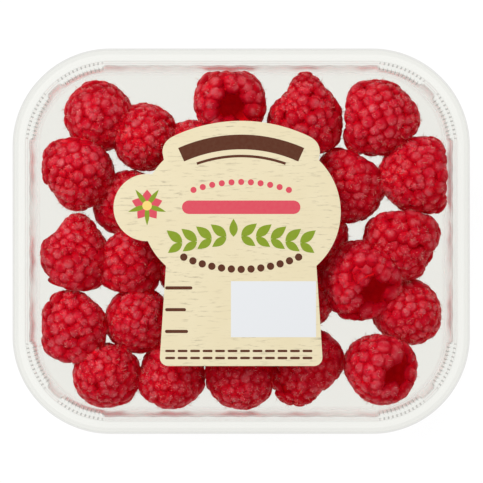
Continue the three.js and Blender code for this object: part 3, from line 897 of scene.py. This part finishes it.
def lobe_outline():
    """The round lobe's edge, from where it leaves the plate to where it meets it again."""
    x, y, radius = LOBE
    to_x, to_y = MIDDLE - PLATE[0] - x, PLATE[1] - y
    apart = math.hypot(to_x, to_y)
    heading = math.atan2(to_y, to_x)
    spread = math.acos((apart ** 2 + radius ** 2 - PLATE[2] ** 2) / (2 * apart * radius))
    return sweep(x, y, radius, heading + spread, heading - spread + math.tau, 36)


def label_outline():
    """The label's cut edge, anticlockwise from the tail's lower right corner."""
    corner_x, corner_y = TAIL_HALF - TAIL_CORNER, TAIL_FOOT_Y + TAIL_CORNER
    lobe = lobe_outline()
    return (sweep(MIDDLE + corner_x, corner_y, TAIL_CORNER, -math.pi / 2, 0, 6)
            + plate_sweep(TAIL_TOP_Y, HEAD_FOOT_Y, 1)
            + head_outline()
            + plate_sweep(HEAD_FOOT_Y, lobe[0][1], -1)[:-1]
            + lobe
            + plate_sweep(lobe[-1][1], TAIL_TOP_Y, -1)[1:]
            + sweep(MIDDLE - corner_x, corner_y, TAIL_CORNER, math.pi, 1.5 * math.pi, 6))


def flat_plates(name, outlines, foot, top):
    """Thin closed plates cut to anticlockwise outlines in mm, as one piece."""
    form = bmesh.new()
    for outline in outlines:
        face = form.faces.new([form.verts.new((x * MM, y * MM, foot * MM)) for x, y in outline])
        raised = bmesh.ops.extrude_face_region(form, geom=[face])
        lifted = [part for part in raised["geom"] if isinstance(part, bmesh.types.BMVert)]
        bmesh.ops.translate(form, verts=lifted, vec=(0, 0, (top - foot) * MM))
    bmesh.ops.recalc_face_normals(form, faces=form.faces)
    bmesh.ops.triangulate(form, faces=[face for face in form.faces if len(face.verts) > 4])
    mesh = bpy.data.meshes.new(name)
    form.to_mesh(mesh)
    form.free()
    return add_object(name, mesh)


def label_paper():
    """Cream paper with the fine level flecks of a board-like print."""
    material, wire = new_material("cream label paper")
    where = wire.place()
    drawn = wire.node("ShaderNodeMapping", None, {"Vector": where, "Scale": (190.0, 1300.0, 1.0)})
    clouds = where.noise(90.0)
    fleck = drawn.noise(1.0, 4.0, 0.65).slope(0.55, 7.0) * clouds.slope(0.225, 2.0)
    ground = clouds.blend(PAPER_CREAM, (0.73, 0.65, 0.45, 1))
    wire.solid({
        "Base Color": (fleck * 0.8).blend(ground, (0.30, 0.25, 0.17, 1)),
        "Roughness": 0.55,
        "Specular IOR Level": 0.3,
        "Normal": where.noise(5000.0).relief(0.00005, 0.2),
    }).finish()
    return material


def ink(name, colour, worn):
    """Printing ink, a little thin and uneven on the paper."""
    material, wire = new_material(name)
    patches = wire.place().noise(900.0, 3.0)
    wire.solid({
        "Base Color": (patches * worn).blend((*colour, 1), PAPER_CREAM),
        "Roughness": patches * 0.15 + 0.42,
        "Specular IOR Level": 0.15,
    }).finish()
    return material


def arched_bar(x, y, radius, half_angle, thick, steps=30):
    """A bar bent on an arc about a centre, with square ends."""
    up = math.pi / 2
    outer = sweep(x, y, radius + thick / 2, up - half_angle, up + half_angle, steps)
    inner = sweep(x, y, radius - thick / 2, up + half_angle, up - half_angle, steps)
    return outer + inner


def pill(x, y, length, thick):
    """A level bar with round ends."""
    r = thick / 2
    right = sweep(x + length / 2 - r, y, r, -math.pi / 2, math.pi / 2, 10)
    left = sweep(x - length / 2 + r, y, r, math.pi / 2, 1.5 * math.pi, 10)
    return right + left


def leaf(x, y, length, width, angle):
    """A pointed leaf that starts at a place and grows towards an angle in degrees."""
    turn = math.radians(angle)
    share = np.linspace(0, 1, 10)
    half = width / 2 * np.sin(math.pi * share ** 0.85)
    edge = [(length * s, -h) for s, h in zip(share, half)]
    back = [(length * s, h) for s, h in zip(share[-2:0:-1], half[-2:0:-1])]
    return [(x + u * math.cos(turn) - v * math.sin(turn),
             y + u * math.sin(turn) + v * math.cos(turn)) for u, v in edge + back]


def disc(x, y, radius, sides=20):
    """A round dot."""
    return sweep(x, y, radius, 0, math.tau * (1 - 1 / sides), sides)


def dot_row(centre_y, radius, rise, half_angle, count, dot):
    """Dots on an arc about a point of the middle line, above it (1) or below it (-1)."""
    return [disc(MIDDLE + radius * math.sin(a), centre_y + rise * radius * math.cos(a), dot)
            for a in np.linspace(-half_angle, half_angle, count)]


def rectangle(x0, y0, x1, y1):
    """A square-cut field between two corners."""
    return [(x0, y0), (x1, y0), (x1, y1), (x0, y1)]


def brown_print():
    """Two arched bars at the head, a hanging row of dots, and the tail's lines and dashes."""
    bars = [arched_bar(MIDDLE, HEAD_ARC_Y, 46.0, 0.42, 4.6),
            arched_bar(MIDDLE, HEAD_ARC_Y, 41.6, 0.34, 0.8)]
    lines = [pill(-19.5, -14.6, 8.5, 1.0), pill(-20.5, -21.4, 6.5, 1.0),
             pill(-20.2, -28.2, 7.2, 1.0)]
    dashes = [pill(-22.2 + 3.9 * k, y, 3.1, 0.75) for y in (-34.3, -36.5) for k in range(12)]
    return bars + dot_row(35.2, 44, -1, 0.42, 13, 1.15) + lines + dashes


def rose_print():
    """A level bar across the plate, an arched row of dots, and the blossom's petals."""
    petals = [leaf(*BLOSSOM, 5.0, 3.4, 90 + 72 * k) for k in range(5)]
    return [pill(MIDDLE, 10.6, 37.0, 4.2)] + dot_row(-27.5, 46, 1, 0.33, 11, 0.95) + petals


def green_print():
    """Leaves in pairs across the plate, as on a wavy twig, and the blossom's sepals."""
    leaves = []
    for step in range(-4, 5):
        x = MIDDLE + step * 4.6
        y = 0.6 + 1.1 * math.cos(step * 0.7)
        leaves.append(leaf(x, y, 6.2, 2.9, 38 if step >= 0 else 142))
        leaves.append(leaf(x, y - 0.2, 5.4, 2.5, -34 if step >= 0 else 214))
    bud = [leaf(MIDDLE - 2.4, 1.4, 5.6, 2.6, 90)]
    return leaves + bud + [leaf(*BLOSSOM, 6.2, 1.5, 126 + 72 * k) for k in range(5)]


# Each ink has its colour, how worn it is, and its outlines. They are printed in this order.
PRINTS = {
    "brown": ((0.080, 0.013, 0.003), 0.05, brown_print()),
    "rose": ((0.62, 0.050, 0.090), 0.08, rose_print()),
    "green": ((0.19, 0.28, 0.004), 0.08, green_print()),
    "straw": ((0.80, 0.58, 0.16), 0.10, [disc(*BLOSSOM, 1.5)]),
}

label = flat_plates("label_paper", [label_outline()], PAPER_FOOT, PAPER_TOP)
label.data.materials.append(label_paper())
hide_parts("label")
panel = flat_plates("label_panel", [rectangle(*PANEL)], PAPER_TOP, PAPER_TOP + INK)
panel.data.materials.append(ink("blank panel white", (0.69, 0.705, 0.725), 0.0))
printed = [panel]
for layer, (name, (colour, worn, outlines)) in enumerate(PRINTS.items()):
    layer_top = PAPER_TOP + INK * (1 + INK_STEP * layer)
    print_piece = flat_plates(f"label_print_{name}", outlines, PAPER_TOP, layer_top)
    print_piece.data.materials.append(ink(f"{name} ink", colour, worn))
    printed.append(print_piece)
for piece in [label, *printed]:
    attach(piece, "root")

# Studio: a white light table under the punnet, an even white surround, and a large soft
# light from the upper left. The camera looks straight down from well above.
TABLE_HALF = 3.0
TABLE_DROP = 0.0002
TABLE_GLOW = 0.965
SURROUND_GLOW = 0.72
VIEW_WIDTH = 0.15094
VIEW_CENTRE = (0.0001, -0.0001)
CAMERA_DISTANCE = 2.2

corners = rectangle(-TABLE_HALF, -TABLE_HALF, TABLE_HALF, TABLE_HALF)
table = mesh_piece("table_top", [(x, y, -TABLE_DROP) for x, y in corners], [(0, 1, 2, 3)])
table_white, wire = new_material("table white")
wire.solid({
    "Base Color": (0.05, 0.05, 0.05, 1),
    "Roughness": 0.9,
    "Specular IOR Level": 0.0,
    "Emission Color": (1, 1, 1, 1),
    "Emission Strength": TABLE_GLOW,
}).finish()
table.data.materials.append(table_white)

world = bpy.data.worlds.new("surround")
world.use_nodes = True
world.node_tree.nodes["Background"].inputs["Color"].default_value = (1, 1, 1, 1)
world.node_tree.nodes["Background"].inputs["Strength"].default_value = SURROUND_GLOW
bpy.context.scene.world = world

lamp = bpy.data.lights.new("key", "AREA")
lamp.size = 0.5
lamp.energy = 10.0
key = add_object("key", lamp)
key.location = (-0.6, 0.6, 0.85)
key.rotation_euler = (-key.location).to_track_quat("-Z", "Y").to_euler()

lens = bpy.data.cameras.new("camera")
lens.sensor_width = 36.0
lens.lens = lens.sensor_width * CAMERA_DISTANCE / VIEW_WIDTH
lens.clip_end = 20.0
camera = add_object("camera", lens)
camera.location = (*VIEW_CENTRE, CAMERA_DISTANCE + tray_high.z)
bpy.context.scene.camera = camera
bpy.context.scene.view_settings.view_transform = "Standard"
